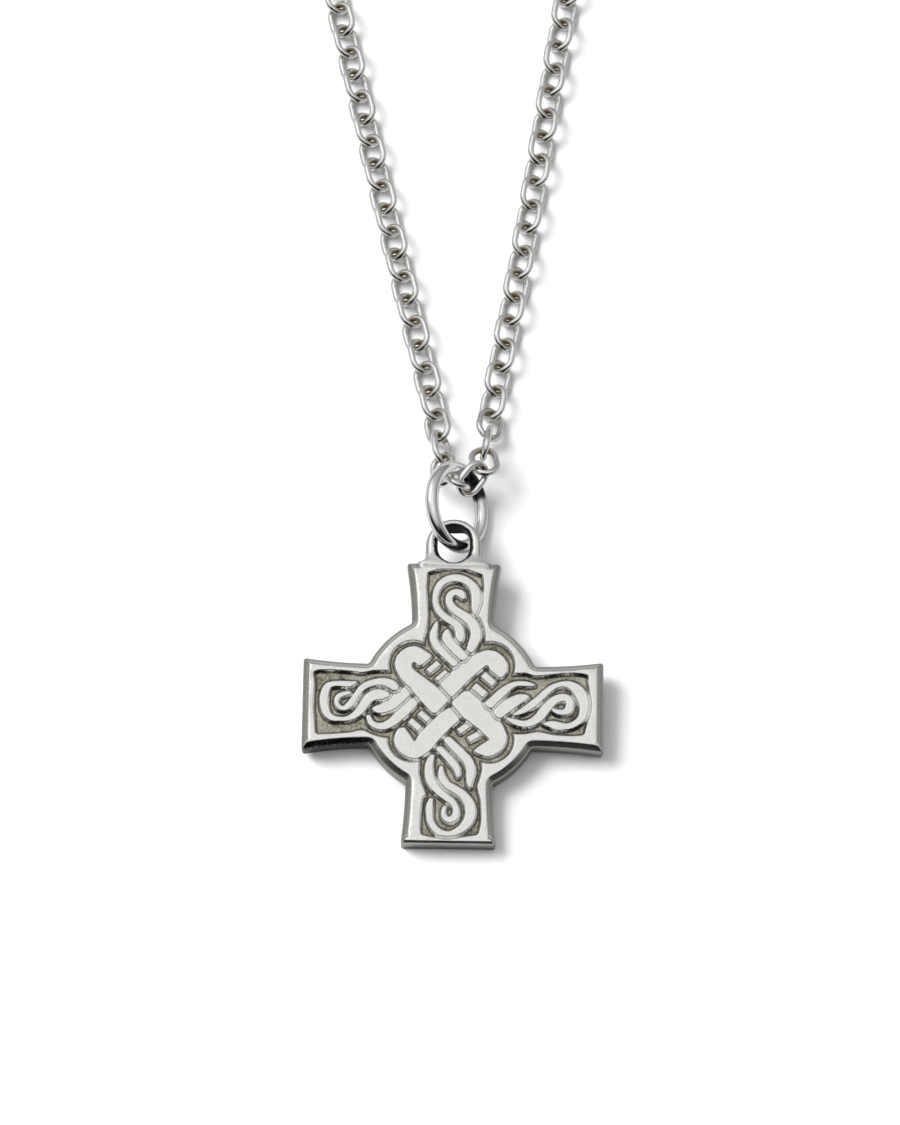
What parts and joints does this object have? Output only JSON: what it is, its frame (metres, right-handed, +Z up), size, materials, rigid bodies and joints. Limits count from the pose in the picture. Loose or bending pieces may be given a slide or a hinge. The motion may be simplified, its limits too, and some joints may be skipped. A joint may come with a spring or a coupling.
{
  "type": "celtic cross pendant necklace",
  "caption": "Small cast silver cross with a round centre and sunk interlace panels, on a plain ring and a whole fine oval-link chain, lying as if set down.",
  "frame": {"origin": "middle of the lower edge of the cross's flat back, on the surface it lies on", "axes": "+Y from the foot of the cross towards its eye and the chain, +Z up from the surface, +X to the right seen from the front of the cross"},
  "size_m": [0.0693, 0.233, 0.0062],
  "materials": {
    "silver": "polished"
  },
  "bodies": {
    "root": {"cross_pendant": "silver", "pendant_ring": "silver", "chain": "silver", "clasp": "silver", "clasp_ring": "silver"}
  },
  "joints": []
}
